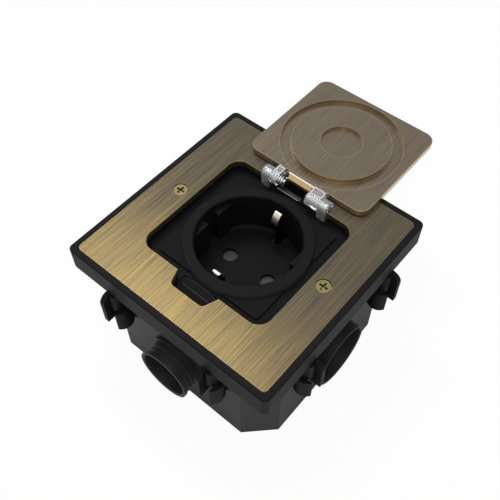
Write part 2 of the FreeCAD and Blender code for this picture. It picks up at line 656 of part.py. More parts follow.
# ------------------------------------------------------------------ plate, gasket and screws
def mouth_outline(grow):
    """The plate's opening with finger pocket and hinge notch, grown all round."""
    x = mouth_x + grow
    front = mouth_front + grow
    back = mouth_back + grow
    r = mouth_r + grow
    tip_y = tab_front + grow
    slope_x = tab_tip + grow
    root_x = tab_root + grow
    nx = notch_x + grow
    ny = notch_back + grow
    return [(x, -(front - r), r), (x, back - r), (x - r, back, r), (nx, back), (nx, ny), (-nx, ny),
            (-nx, back), (-(x - r), back), (-x, back - r, r), (-x, -(front - r)),
            (-(x - r), -front, r), (-root_x, -front), (-slope_x, -(tip_y - tab_r)),
            (-(slope_x - tab_r), -tip_y, tab_r), (slope_x - tab_r, -tip_y),
            (slope_x, -(tip_y - tab_r), tab_r), (root_x, -front), (x - r, -front)]


cover_plate = Solid("cover_plate")
cover_plate.pad("z", deck - plate_t, deck, centred(plate_half, plate_half, plate_r))
cover_plate.cut("z", deck - plate_t, deck, mouth_outline(zero))
cover_plate.cut("z", deck - plate_t, deck, *[ring(x, y, plate_shank_r + play) for x, y in plate_spots])
cover_plate.cut("z", deck - plate_sink_h, deck, *[ring(x, y, plate_sink_r) for x, y in plate_spots])
cover_plate.bevel(plate_edge, lambda edge: edge.BoundBox.ZMin > deck.value - 0.01 and
                  edge.CenterOfMass.distanceToPoint(
                      FreeCAD.Vector(plate_screw_x.value, 0, deck.value)) > 0.1 and
                  edge.CenterOfMass.distanceToPoint(
                      FreeCAD.Vector(-plate_screw_x.value, 0, deck.value)) > 0.1)

gasket_out = plate_half - gasket_inset
plate_gasket = Solid("plate_gasket")
plate_gasket.pad("z", ledge_z, deck - plate_t, centred(gasket_out, gasket_out, plate_r),
                 centred(tray_hole_x, tray_hole_y, tray_r + play),
                 *[ring(x, y, plate_shank_r + play) for x, y in plate_spots])

plate_screws = screws("plate_screws", plate_spots, deck - plate_sink_h, plate_head_r, plate_head_h,
                      plate_shank_r, deck - plate_screw_end, True)

# ------------------------------------------------------------------ tray
tray = Solid("tray")
tray.pad("z", step_z, deck - flange_top, centred(tray_x, tray_y, tray_r))
well_z = deck - well_under
tray.pad("z", well_z, step_z, centred(well_hole_x - play, well_hole_y - play, tray_r - play))
pad_z = deck - pad_depth
moat_z = deck - moat_depth
tray.cut("z", pad_z, deck - flange_top, mouth_outline(moat_over))
tray.cut("z", moat_z, pad_z, mouth_outline(moat_over), centred(pad_half, pad_half, Size(1.2)))
tray.cut("z", well_z, pad_z, ring(0, 0, collar_r + play * 2))
beam_back = beam_front + beam_w
tray.cut("z", deck - trough_depth, moat_z,
         rect(-(knuckle_split - 2), left_in, beam_back, notch_back))
tray.pad("z", moat_z, deck - beam_depth, rect(-(left_in - 0.3), right_in - 0.3, beam_front, beam_back))
pit_z = deck - lever_pit_depth
tray.cut("z", pit_z, moat_z, rect(-lever_pit_x, lever_pit_x, -lever_pit_front, -lever_pit_back))
tray.cut("x", -lever_pin_half - 0.2, lever_pin_half + 0.2,
         ring(-lever_axis_y, deck - lever_axis_depth, lever_pin_r))
corner_spots = four(corner_screw, corner_screw)
small_pilot_r = small_shank_r + run_play
tray.cut("z", well_z, pad_z - 1.0, *[ring(x, y, small_pilot_r) for x, y in corner_spots])

# ------------------------------------------------------------------ lifting lever
axis_z = deck - lever_axis_depth
crest_z = deck - lever_crest
lift_lever = Solid("lift_lever")
lift_lever.pad("x", -lever_x, lever_x, [
    (-lever_back, crest_z - 0.15 - lever_t), (-lever_back, crest_z - 0.15), (-lever_axis_y, crest_z),
    (-lever_front, crest_z - lever_drop), (-lever_front, crest_z - lever_drop - lever_t),
    (-lever_axis_y, crest_z - lever_t)])
lift_lever.pad("x", -lever_x, lever_x, ring(-lever_axis_y, axis_z, lever_hub_r))
bow_ends = -lever_back - lever_bulge
bow_r = (lever_x * lever_x) / (lever_bulge * 2) + lever_bulge / 2
lift_lever.cut("z", axis_z - 2, deck, [
    (-lever_x, bow_ends, bow_r), (-lever_x, -lever_back + 1), (lever_x, -lever_back + 1),
    (lever_x, bow_ends)])
lift_lever.cut("x", -lever_x, lever_x, ring(-lever_axis_y, axis_z, lever_pin_r + run_play))

lever_pin = cylinder("lever_pin", lever_pin_r, lever_pin_half * 2, -lever_pin_half, -lever_axis_y,
                     axis_z, "x")


def coil(label, radius, wire, pitch, height, turn_axis, x, y, z):
    """A coil of six-sided wire that starts at a point and winds along an axis."""
    turns = height.value / pitch.value
    steps = int(turns * COIL_STEPS)
    spots = []
    for step in range(steps + 1):
        angle = 2 * math.pi * step / COIL_STEPS
        spots.append(FreeCAD.Vector(radius.value * math.cos(angle), radius.value * math.sin(angle),
                                    height.value * step / steps))
    path = Part.makePolygon(spots)
    corners = []
    for corner in range(7):
        angle = math.pi * corner / 3
        corners.append(FreeCAD.Vector(radius.value + wire.value * math.cos(angle), 0,
                                      wire.value * math.sin(angle)))
    item = doc.addObject("Part::Feature", label)
    item.Shape = Part.Wire(path.Edges).makePipeShell([Part.makePolygon(corners)], True, True, 1)
    item.Label = label
    if turn_axis == "x":
        item.Placement.Rotation = FreeCAD.Rotation(FreeCAD.Vector(0, 1, 0), 90)
    place(item, x, y, z)
    return item


spring_low = pit_z + lever_wire_r
spring_high = axis_z + (crest_z - axis_z) - lever_drop - lever_t - lever_wire_r
spring_long = spring_high - spring_low
lever_spring = coil("lever_spring", lever_spring_r, lever_wire_r, spring_long / 3.5,
                    spring_long, "z", zero, -lever_spring_y, spring_low)

# ------------------------------------------------------------------ socket cup
collar_z = deck - collar_top
floor_z = deck - cup_depth
under_z = floor_z - cup_floor
skirt_z = under_z - shutter_room
body_r = cup_r + cup_wall
cove = cup_r - cup_cove
socket_cup = Solid("socket_cup")
socket_cup.turn("y", [[
    (0, under_z - shutter_room + 0.1), (shutter_pin_r, under_z - shutter_room + 0.1),
    (shutter_pin_r, under_z), (cup_r + 0.5, under_z), (cup_r + 0.5, skirt_z), (body_r, skirt_z),
    (body_r, well_z), (collar_r, well_z), (collar_r, collar_z - collar_taper),
    (collar_r - collar_edge, collar_z), (cup_r + collar_in_chamfer, collar_z),
    (cup_r, collar_z - collar_in_chamfer), (cup_r, floor_z + cup_cove), (cove, floor_z), (0, floor_z)]])
socket_cup.pad("z", well_z - cup_flange_t, well_z, centred(pad_half, pad_half, Size(2.0)),
               ring(0, 0, body_r - 0.5))
rib_back = cup_r + 0.6
rib_side = side_of(rib_back, rib_x)
notch_side = side_of(rib_back, rib_notch)
rib_z = deck - rib_top
socket_cup.pad("z", floor_z, rib_z,
               [(rib_x, rib_notch), (notch_side, rib_notch), (rib_x, rib_side, rib_back)],
               [(rib_x, -rib_side), (notch_side, -rib_notch, rib_back), (rib_x, -rib_notch)],
               [(-rib_x, rib_side), (-notch_side, rib_notch, rib_back), (-rib_x, rib_notch)],
               [(-rib_x, -rib_notch), (-notch_side, -rib_notch), (-rib_x, -rib_side, rib_back)])
pin_x = pin_pitch / 2
socket_cup.cut("z", under_z, floor_z, ring(pin_x, 0, pin_hole_r), ring(-pin_x, 0, pin_hole_r))
socket_cup.cut("z", under_z, floor_z + cup_cove,
               rect(-clip_slot_x, clip_slot_x, clip_slot_in, cup_r - 0.1),
               rect(-clip_slot_x, clip_slot_x, -(cup_r - 0.1), -clip_slot_in))
base_spots = four(base_screw_x, base_screw_y)
base_screw_top = deck - base_screw_depth
socket_cup.cut("z", skirt_z, base_screw_top + 0.4, *[ring(x, y, small_pilot_r) for x, y in base_spots])
socket_cup.cut("z", well_z - cup_flange_t, well_z, *[ring(x, y, small_pilot_r) for x, y in corner_spots])
socket_screws = screws("socket_screws", corner_spots, well_z - cup_flange_t, small_head_r, small_head_h,
                       small_shank_r, pad_z - 1.4, False)

# ------------------------------------------------------------------ shutter
shutter_high = under_z - play
shutter_low = shutter_high - shutter_t
shutter = Solid("shutter")
shutter.pad("z", shutter_low, shutter_high, rect(-pin_x, pin_x, -shutter_arm, shutter_arm))
shutter.pad("z", shutter_low, shutter_high, ring(pin_x, 0, shutter_pad_r), ring(-pin_x, 0, shutter_pad_r))
shutter.pad("z", shutter_low, shutter_high, ring(0, 0, shutter_hub_r))
shutter.cut("z", shutter_low, shutter_high, ring(0, 0, shutter_pin_r + run_play))

# ------------------------------------------------------------------ earth strap with its clips
strap_low = skirt_z - strap_t
arm_in = strap_reach - strap_t
tip_in = clip_tip - strap_t
foot_z = deck - clip_foot
tip_z = deck - clip_top
earth_strap = Solid("earth_strap")
earth_strap.pad("x", -strap_x, strap_x, [
    (-strap_reach, strap_low), (strap_reach, strap_low), (strap_reach, foot_z),
    (clip_tip, tip_z, -clip_bow_r), (tip_in, tip_z), (arm_in, foot_z, clip_bow_r),
    (arm_in, skirt_z), (-arm_in, skirt_z), (-arm_in, foot_z), (-tip_in, tip_z, clip_bow_r),
    (-clip_tip, tip_z), (-strap_reach, foot_z, -clip_bow_r)])

# ------------------------------------------------------------------ contact base
base_z = deck - base_depth
chamber_z = base_z + base_floor
chamber_r = contact_r + contact_room
wire_z = deck - wire_depth
earth_spot = (zero, block_y)
live_spots = [(block_x, zero), (-block_x, zero)]
room_x = block_half + block_gap
room_y = block_long + block_gap
contact_base = Solid("contact_base")
contact_base.pad("z", base_z, skirt_z, ring(0, 0, body_r))
contact_base.cut("z", strap_low - seat_gap, skirt_z,
                 rect(-(strap_x + play), strap_x + play, -(strap_reach + play), strap_reach + play))
contact_base.cut("z", chamber_z, skirt_z, ring(pin_x, 0, chamber_r), ring(-pin_x, 0, chamber_r))
contact_base.cut("z", chamber_z, skirt_z, rect(pin_x, block_x + room_x, -room_y, room_y))
contact_base.cut("z", chamber_z, skirt_z, rect(-(block_x + room_x), -pin_x, -room_y, room_y))
contact_base.cut("z", chamber_z, strap_low, rect(-room_x, room_x, block_y - room_y, block_y + room_y))
contact_base.cut("y", -body_r - 1, -room_y, ring(block_x, wire_z, wire_r + 0.3),
                 ring(-block_x, wire_z, wire_r + 0.3))
contact_base.cut("y", block_y, body_r + 1, ring(0, wire_z, wire_r + 0.3))
contact_base.cut("z", base_z, chamber_z, *[ring(x, y, grub_r + 0.5) for x, y in live_spots + [earth_spot]])
contact_base.cut("z", base_z, skirt_z, *[ring(x, y, small_pilot_r) for x, y in base_spots])
base_screws = screws("base_screws", base_spots, base_z, small_head_r, small_head_h, small_shank_r,
                     base_screw_top, False)


# ------------------------------------------------------------------ contacts and terminals
def contact(label, turn):
    """Slit tulip on a foot that runs out under its terminal."""
    piece = Solid(label)
    x = pin_x * turn
    far = (block_x + block_half) * turn
    low, high = (x, far) if turn > 0 else (far, x)
    piece.pad("z", chamber_z, chamber_z + foot_t, rect(low, high, -foot_y, foot_y))
    piece.pad("z", chamber_z, deck - contact_top, ring(x, 0, contact_r))
    piece.cut("z", chamber_z + foot_t, deck - contact_top, ring(x, 0, contact_bore))
    slit = contact_slit / 2
    reach = contact_r + 0.5
    slit_z = chamber_z + foot_t + slit_rise
    piece.cut("z", slit_z, deck - contact_top, rect(x - reach, x + reach, -slit, slit))
    piece.cut("z", slit_z, deck - contact_top, rect(x - slit, x + slit, -reach, reach))
    piece.cut("z", chamber_z, chamber_z + foot_t, ring(block_x * turn, 0, grub_r + play))
    return piece


phase_contact = contact("phase_contact", 1)
neutral_contact = contact("neutral_contact", -1)


def terminal(label, x, y, low, high):
    """Brass block with a wire bore along Y and a screw hole from below."""
    blank = block(label + "_blank", x - block_half, x + block_half, y - block_long, y + block_long, low, high)
    bore = cylinder(label + "_bore", wire_r, block_long * 2, x, y - block_long, wire_z, "y")
    hole = cylinder(label + "_hole", grub_r + run_play, wire_z - low, x, y, low)
    return cut(label, blank, [bore, hole])


phase_terminal = terminal("phase_terminal", block_x, zero, chamber_z + foot_t, deck - block_top)
neutral_terminal = terminal("neutral_terminal", -block_x, zero, chamber_z + foot_t, deck - block_top)
earth_terminal = terminal("earth_terminal", zero, block_y, chamber_z + foot_t, strap_low)

grub_low = base_z + 0.6
grubs = []
slots = []
for at, (x, y) in enumerate(live_spots + [earth_spot]):
    tag = "terminal_screw_%d" % (at + 1)
    grubs.append(cylinder(tag, grub_r, grub_len, x, y, grub_low))
    slots.append(block(tag + "_slot", x - grub_r, x + grub_r, y - grub_slot / 2, y + grub_slot / 2,
                       grub_low, grub_low + 0.8))
terminal_screws = cut("terminal_screws", fuse("terminal_screws_blank", grubs), slots)

# ------------------------------------------------------------------ lid, open on the plate
hinge_z = deck + hinge_up
lid_low = deck + lid_drop
lid_high = lid_low + lid_t
lid_front = hinge_y + lid_near
lid_back = hinge_y + lid_far
ring_y = hinge_y * 2
lid = Solid("lid")
lid.pad("z", lid_low, lid_high, round_rect(-lid_x, lid_x, lid_front, lid_back, lid_r))
lid.bevel(lid_edge, lambda edge: edge.BoundBox.ZLength < 0.01)
lid.pad("z", lid_low, lid_high, rect(-tongue_left, tongue_right, lid_front - tongue_long, lid_front + 1))
lid.cut("z", lid_high - ring_deep, lid_high, ring(0, ring_y, ring_out), ring(0, ring_y, ring_in))
lid.pad("z", lid_high, lid_high + disc_proud, ring(0, ring_y, ring_in))
lid.cut("z", lid_high + disc_proud - dish_deep, lid_high + disc_proud, ring(0, ring_y, dish_r))


def moving_knuckle(label, left, right):
    """Clear arm fixed to the lid's near edge, with its eye round the hinge axis."""
    piece = Solid(label)
    piece.pad("x", left, right, ring(hinge_y, hinge_z, knuckle_r))
    piece.pad("x", left, right, rect(hinge_y, lid_front, lid_low, lid_high - play))
    piece.cut("x", left, right, ring(hinge_y, hinge_z, hinge_pin_r + run_play))
    return piece


def fixed_knuckle(label, left, right):
    """Clear bracket that stands in the tray and holds a hinge pin."""
    piece = Solid(label)
    piece.pad("x", left, right, ring(hinge_y, hinge_z, knuckle_r))
    piece.pad("x", left, right, rect(hinge_y - foot_front, hinge_y + foot_back, moat_z, hinge_z))
    piece.cut("x", left, right, ring(hinge_y, hinge_z, hinge_pin_r))
    return piece


moving_split = knuckle_split - knuckle_gap
lid_arm_left = moving_knuckle("lid_arm_left", -moving_split, -left_in)
lid_arm_left.cut("x", -(left_in + coil_chamber), -left_in, ring(hinge_y, hinge_z, coil_chamber_r))
lid_arm_right = moving_knuckle("lid_arm_right", right_in, moving_split)
hinge_bracket_left = fixed_knuckle("hinge_bracket_left", -knuckle_out, -knuckle_split)
hinge_bracket_right = fixed_knuckle("hinge_bracket_right", knuckle_split, knuckle_out)

pin_left_long = knuckle_out - coil_end - 0.3
hinge_pin_left = cylinder("hinge_pin_left", hinge_pin_r, pin_left_long, -(knuckle_out - 0.3), hinge_y,
                          hinge_z, "x")
hinge_pin_right = cylinder("hinge_pin_right", hinge_pin_r, knuckle_out - right_in - 0.3, right_in,
                           hinge_y, hinge_z, "x")
coil_long = left_in + coil_chamber - coil_end - coil_wire_r * 2 - 0.2
hinge_spring = coil("hinge_spring", coil_r, coil_wire_r, coil_pitch, coil_long, "x",
                    -(left_in + coil_chamber - coil_wire_r - 0.1), hinge_y, hinge_z)

# ------------------------------------------------------------------ checks and export
doc.recompute()
faulty = [item.Name for item in doc.Objects if "Invalid" in item.State or "Error" in item.State]
if faulty:
    raise RuntimeError("objects in error: " + ", ".join(faulty))

PIECES = [
    back_box, box_bosses, conduit_sleeve_front, conduit_sleeve_side, top_frame, frame_posts, frame_hooks,
    plate_gasket,
    cover_plate, plate_screws, tray, lift_lever, lever_pin, lever_spring, socket_cup, socket_screws,
    shutter, earth_strap, contact_base, base_screws, phase_contact, neutral_contact, phase_terminal,
    neutral_terminal, earth_terminal, terminal_screws, lid, lid_arm_left, lid_arm_right,
    hinge_bracket_left, hinge_bracket_right, hinge_pin_left, hinge_pin_right, hinge_spring]

os.makedirs("parts", exist_ok=True)
for piece in PIECES:
    made = piece.body if isinstance(piece, Solid) else piece
    shape = made.Shape
    if shape.isNull() or not shape.isValid():
        raise RuntimeError("no valid shape: " + made.Label)
    shape.exportStep(os.path.join("parts", made.Label + ".step"))
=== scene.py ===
"""Looks of the floor socket box: finishes, hinge coil, small trim, floor, lights and camera."""

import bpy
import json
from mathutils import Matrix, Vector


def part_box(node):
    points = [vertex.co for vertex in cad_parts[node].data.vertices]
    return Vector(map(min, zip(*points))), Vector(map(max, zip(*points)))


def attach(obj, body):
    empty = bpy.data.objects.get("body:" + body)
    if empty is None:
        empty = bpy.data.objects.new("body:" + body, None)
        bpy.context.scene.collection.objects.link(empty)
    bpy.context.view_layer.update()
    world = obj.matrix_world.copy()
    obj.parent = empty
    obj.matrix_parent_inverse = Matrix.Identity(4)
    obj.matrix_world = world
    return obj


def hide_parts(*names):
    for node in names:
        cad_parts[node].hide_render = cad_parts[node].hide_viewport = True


bl_info = {
    "name": "Floor socket box",
    "version": (1, 0, 0),
    "blender": (4, 5, 0),
    "location": "View3D > Sidebar > Floor socket",
    "description": "Finishes and small pieces of a floor socket box, with its stage",
    "category": "Object",
}

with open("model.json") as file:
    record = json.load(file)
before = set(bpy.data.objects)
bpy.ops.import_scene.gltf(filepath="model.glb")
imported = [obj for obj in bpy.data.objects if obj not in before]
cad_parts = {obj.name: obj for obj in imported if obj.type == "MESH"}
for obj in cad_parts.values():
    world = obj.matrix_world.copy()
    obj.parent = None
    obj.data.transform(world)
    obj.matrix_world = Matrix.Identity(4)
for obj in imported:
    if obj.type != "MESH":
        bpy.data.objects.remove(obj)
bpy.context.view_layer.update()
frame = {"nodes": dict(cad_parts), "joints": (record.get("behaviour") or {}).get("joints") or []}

import json
import math

import bmesh
import bpy
from bpy.props import FloatProperty, FloatVectorProperty, PointerProperty
from mathutils import Matrix, Vector

MM = 0.001
NODES = frame["nodes"]
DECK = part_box("cover_plate")[1].z
DECK_MM = DECK / MM
HINGE = next(joint for joint in frame["joints"] if joint["name"] == "lid_hinge")["pos_m"]
WHITE = (1.0, 1.0, 1.0, 1.0)

# Edges that turn by more than this many degrees stay sharp.
SHARP_ANGLE = 32.0
SHARP_ANGLE_BRASS = 20.0

# Corners nearer to each other than this, in metres, are one corner.
WELD = 0.001 * MM


# ------------------------------------------------------------------ shader maths
class Wire:
    """A shader socket on which plain Python arithmetic adds Math nodes."""

    def __init__(self, nodes, socket):
        self.nodes = nodes
        self.socket = socket

    def _with(self, operation, *values):
        return self.nodes.add("ShaderNodeMath", {"operation": operation}, values)

    def __add__(self, other):
        return self._with("ADD", self, other)

    def __radd__(self, other):
        return self._with("ADD", other, self)

    def __sub__(self, other):
        return self._with("SUBTRACT", self, other)

    def __rsub__(self, other):
        return self._with("SUBTRACT", other, self)

    def __mul__(self, other):
        return self._with("MULTIPLY", self, other)

    def __rmul__(self, other):
        return self._with("MULTIPLY", other, self)

    def __gt__(self, other):
        return self._with("GREATER_THAN", self, other)

    def __lt__(self, other):
        return self._with("LESS_THAN", self, other)

    def most(self, other):
        return self._with("MAXIMUM", self, other)

    def size(self):
        return self._with("ABSOLUTE", self)

    def sine(self):
        return self._with("SINE", self)


class Nodes:
    """A node tree and the one way of adding nodes to it."""

    def __init__(self, tree):
        self.tree = tree

    def add(self, kind, settings=None, values=(), output=0):
        """Adds a node: its settings first, then the values or links of its sockets."""
        node = self.tree.nodes.new(kind)
        for name, value in (settings or {}).items():
            setattr(node, name, value)
        pairs = values.items() if isinstance(values, dict) else enumerate(values)
        for name, value in pairs:
            self.feed(node.inputs[name], value)
        return Wire(self, node.outputs[output])

    def feed(self, socket, value):
        """Links a wire to a socket, or sets the socket's own value."""
        if isinstance(value, Wire):
            self.tree.links.new(value.socket, socket)
        else:
            socket.default_value = value

    def surface(self, output, shader):
        """Links a shader to the surface of the tree's output node."""
        self.feed(self.tree.nodes[output].inputs["Surface"], shader)


class Finish(Nodes):
    """One material, its nodes and its shader."""

    def __init__(self, name):
        self.material = bpy.data.materials.new(name)
        self.material.use_nodes = True
        super().__init__(self.material.node_tree)
        self.shader = self.tree.nodes["Principled BSDF"]

    def set(self, **values):
        """Sets the shader's sockets: base_color=..., roughness=... and so on."""
        for name, value in values.items():
            title = name.replace("_", " ").title().replace("Ior", "IOR")
            if isinstance(value, tuple):
                value = (*value, 1.0)
            self.feed(self.shader.inputs[title], value)

    def place(self, scale=(1.0, 1.0, 1.0)):
        """Object position in millimetres, stretched by a scale."""
        spot = self.add("ShaderNodeTexCoord", output="Object")
        return self.add("ShaderNodeMapping", {},
                        {"Vector": spot, "Scale": [item / MM for item in scale]})

    def along(self, axis):
        """Object position along one axis, in millimetres."""
        return self.add("ShaderNodeSeparateXYZ", {}, [self.place()], axis)

    def noise(self, scale, detail, roughness):
        """Soft noise from 0 to 1, with its waves per millimetre along each axis."""
        return self.add("ShaderNodeTexNoise", {},
                        {"Vector": self.place(scale), "Scale": 1.0, "Detail": detail,
                         "Roughness": roughness}, "Fac")

    def spread(self, value, low, high):
        """0 up to a low value, 1 from a high value on, and even in between."""
        return self.add("ShaderNodeMapRange", {"clamp": True},
                        {"Value": value, "From Min": low, "From Max": high})

    def mix(self, factor, first, second):
        """Mixes two colours."""
        first = (*first, 1.0) if isinstance(first, tuple) else first
        second = (*second, 1.0) if isinstance(second, tuple) else second
        return self.add("ShaderNodeMix", {"data_type": "RGBA"}, {0: factor, 6: first, 7: second}, 2)

    def bump(self, height, strength, distance_mm):
        """A normal that follows a height."""
        return self.add("ShaderNodeBump", {},
                        {"Strength": strength, "Distance": distance_mm * MM, "Height": height},
                        "Normal")

    def wall(self):
        """1 on upright walls, falling to 0 on level faces."""
        normal = self.add("ShaderNodeNewGeometry", output="Normal")
        return 1.0 - self.add("ShaderNodeSeparateXYZ", {}, [normal], "Z").size()

    def edge(self, width_mm):
        """1 on sharp edges, falling to 0 on flat faces, from the turn of the surface normal."""
        bevel = self.add("ShaderNodeBevel", {"samples": 6}, {"Radius": width_mm * MM}, "Normal")
        flat = self.add("ShaderNodeNewGeometry", output="Normal")
        along = self.add("ShaderNodeVectorMath", {"operation": "DOT_PRODUCT"}, [bevel, flat],
                         "Value")
        return (1.0 - along).most(0.0)


def shade(colour, times, plus=0.0):
    """A colour made lighter or darker."""
    return tuple(item * times + plus for item in colour)


# ------------------------------------------------------------------ finishes
def brushed_brass(name, dark, light, softness, highlight_gain):
    """Aged brass, brushed along Y under a dull lacquer, with edges and upright walls paler by a
    factor: a painted highlight.
    """
    look = Finish(name)
    hair = look.noise((5.0, 0.05, 5.0), detail=1.0, roughness=0.6)
    line = look.noise((3.2, 0.035, 3.2), detail=1.0, roughness=0.6)
    band = look.noise((0.9, 0.014, 0.9), detail=1.0, roughness=0.5)
    cloud = look.noise((0.05, 0.035, 0.05), detail=2.0, roughness=0.5)
    grain = hair * 0.52 + line * 0.38 + band * 0.10
    tone = look.spread(grain, 0.5 - softness, 0.5 + softness)
    # Painted highlight: sharp edges and upright walls are mixed towards a paler brass.
    painted_highlight = (look.edge(0.4) * 3.0).most(look.wall() * 0.9)
    look.set(base_color=look.mix(painted_highlight, look.mix(tone, dark, light), shade(light, highlight_gain)),
             metallic=1.0, roughness=0.19 + tone * 0.09 + cloud * 0.05,
             coat_weight=0.90, coat_roughness=0.6,
             normal=look.bump(line + band, strength=0.8, distance_mm=0.005))
    return look.material


def moulded(name, colour, roughness, gloss=0.3, grain=0.5, lit_from=None):
    """Satin moulded plastic with a spark-eroded skin, its sharp edges lighter as a painted
    highlight, and its upright walls outside a radius in mm paler as a painted light.
    """
    look = Finish(name)
    skin = look.noise((4.0, 4.0, 4.0), detail=3.0, roughness=0.6)
    cloud = look.noise((0.09, 0.09, 0.09), detail=3.0, roughness=0.55)
    body = look.mix(cloud * 0.8, colour, shade(colour, 1.5, 0.002))
    if lit_from:
        x, y = look.along("X"), look.along("Y")
        lit_walls = (x * x + y * y) > lit_from ** 2
        # Painted light: upright walls outside the radius are mixed towards a paler colour.
        body = look.mix(lit_walls * look.wall(), body, shade(colour, 1.0, 0.035))
    # Painted highlight: sharp edges are mixed towards a much lighter colour.
    look.set(base_color=look.mix(look.edge(0.35), body, shade(colour, 3.0, 0.02)),
             roughness=roughness - 0.06 + cloud * 0.12 + skin * 0.05, specular_ior_level=gloss,
             normal=look.bump(skin, strength=0.22 * grain, distance_mm=0.03))
    return look.material


def spring_clip(name, colour, painted_shade, low, high):
    """Plated strip, near-black below one height in mm as a painted shade, and plain plating above
    another.
    """
    look = Finish(name)
    marks = look.noise((2.0, 2.0, 0.5), detail=3.0, roughness=0.6)
    # Painted shade: the strip turns near-black below the low height.
    plated = look.spread(look.along("Z") + marks * 0.8, low, high)
    look.set(base_color=look.mix(plated, painted_shade, colour), metallic=1.0,
             roughness=0.26 + marks * 0.14,
             normal=look.bump(marks, strength=0.25, distance_mm=0.015))
    return look.material


def rubbery(name, colour):
    """Dull rubber, or the near-black of a painted shadow, with a fine open skin."""
    look = Finish(name)
    skin = look.noise((2.4, 2.4, 2.4), detail=4.0, roughness=0.6)
    look.set(base_color=look.mix(skin, colour, shade(colour, 1.8)), roughness=0.72 + skin * 0.12,
             normal=look.bump(skin, strength=0.3, distance_mm=0.03))
    return look.material


def metal(name, colour, roughness):
    """Plated or drawn metal with fine marks."""
    look = Finish(name)
    marks = look.noise((3.0, 3.0, 3.0), detail=3.0, roughness=0.6)
    cloud = look.noise((0.4, 0.4, 0.4), detail=2.0, roughness=0.5)
    look.set(base_color=look.mix(cloud, colour, shade(colour, 0.78)), metallic=1.0,
             roughness=roughness + marks * 0.12,
             normal=look.bump(marks, strength=0.25, distance_mm=0.015))
    return look.material


def ribbed(name, colour, groove_colour, pitch_mm):
    """Metal strip, darker in its grooves."""
    look = Finish(name)
    marks = look.noise((3.0, 0.6, 0.6), detail=2.0, roughness=0.5)
    groove = look.spread((look.along("X") * (2 * math.pi / pitch_mm)).sine(), 0.1, 0.9)
    look.set(base_color=look.mix(groove, colour, groove_colour), metallic=1.0,
             roughness=0.28 + marks * 0.1,
             normal=look.bump(marks, strength=0.2, distance_mm=0.01))
    return look.material


def clear(name, colour, thin=None):
    """Clear moulded plastic with faint flow marks, nearly gone past an x and before a y in mm."""
    look = Finish(name)
    flow = look.noise((0.9, 0.25, 0.9), detail=2.0, roughness=0.5)
    look.set(base_color=look.mix(flow * 0.5, colour, (1.0, 1.0, 1.0)), roughness=0.02 + flow * 0.04,
             transmission_weight=0.82, ior=1.47, specular_ior_level=0.8,
             normal=look.bump(flow, strength=0.2, distance_mm=0.012))
    if thin:
        past_x, before_y = thin
        sleeve = (look.along("X") > past_x) * (look.along("Y") < before_y)
        look.set(alpha=1.0 - sleeve * 0.85)
    return look.material


# ------------------------------------------------------------------ pieces
def point(x, y, z):
    """A point given in millimetres, in metres."""
    return (x * MM, y * MM, z * MM)


def dress(names, material, angle=SHARP_ANGLE):
    """Gives nodes a material, and shades them smooth with their edges kept sharp."""
    for name in names:
        item = NODES[name]
        item.data.materials.clear()
        item.data.materials.append(material)
        item.data.polygons.foreach_set("use_smooth", [True] * len(item.data.polygons))
        item.modifiers.new("edges", "EDGE_SPLIT").split_angle = math.radians(angle)


def new_piece(name, build, material, body):
    """Makes a piece from mesh code and lets it ride on a body."""
    mesh = bpy.data.meshes.new(name)
    work = bmesh.new()
    build(work)
    bmesh.ops.recalc_face_normals(work, faces=work.faces)
    work.to_mesh(mesh)
    work.free()
    mesh.materials.append(material)
    mesh.polygons.foreach_set("use_smooth", [True] * len(mesh.polygons))
    mesh.set_sharp_from_angle(angle=math.radians(SHARP_ANGLE))
    item = bpy.data.objects.new(name, mesh)
    bpy.context.scene.collection.objects.link(item)
    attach(item, body)


def loft(work, sections):
    """Joins outlines, all with the same number of corners, into one closed bar."""
    rows = [[work.verts.new(point(*corner)) for corner in section] for section in sections]
    count = len(rows[0])
    for first, second in zip(rows, rows[1:]):
        for at in range(count):
            after = (at + 1) % count
            work.faces.new((first[at], first[after], second[after], second[at]))
    work.faces.new(rows[0])
    work.faces.new(list(reversed(rows[-1])))


def wire(name, spots, radius, closed, material, body, rounding=3):
    """Makes a round bar through points given in millimetres."""
    curve = bpy.data.curves.new(name, "CURVE")
    curve.dimensions = "3D"
    curve.bevel_depth = radius * MM
    curve.bevel_resolution = rounding
    curve.use_fill_caps = True
    line = curve.splines.new("POLY")
    line.points.add(len(spots) - 1)
    for spot, knot in zip(spots, line.points):
        knot.co = (*point(*spot), 1.0)
    line.use_cyclic_u = closed
    curve.materials.append(material)
    item = bpy.data.objects.new(name, curve)
    bpy.context.scene.collection.objects.link(item)
    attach(item, body)
    return item


# ------------------------------------------------------------------ settings a user may change
class BrassSettings(bpy.types.PropertyGroup):
    """Brass of plate and lid."""
    dark: FloatVectorProperty(
        name="Dark grain", description="Colour in the plate's brush lines", subtype="COLOR",
        size=3, min=0.0, max=1.0, default=(0.012, 0.010, 0.006))
    light: FloatVectorProperty(
        name="Light grain", description="Colour between the plate's brush lines", subtype="COLOR",
        size=3, min=0.0, max=1.0, default=(0.098, 0.068, 0.019))
    lid_dark: FloatVectorProperty(
        name="Lid's dark grain", description="Colour in the lid's brush lines", subtype="COLOR",
        size=3, min=0.0, max=1.0, default=(0.052, 0.040, 0.026))
    lid_light: FloatVectorProperty(
        name="Lid's light grain", description="Colour between the lid's brush lines",
        subtype="COLOR", size=3, min=0.0, max=1.0, default=(0.166, 0.124, 0.068))
    streak: FloatProperty(
        name="Streak", description="Softness of the change between the two colours",
        default=0.15, min=0.01, max=0.5, subtype="FACTOR")


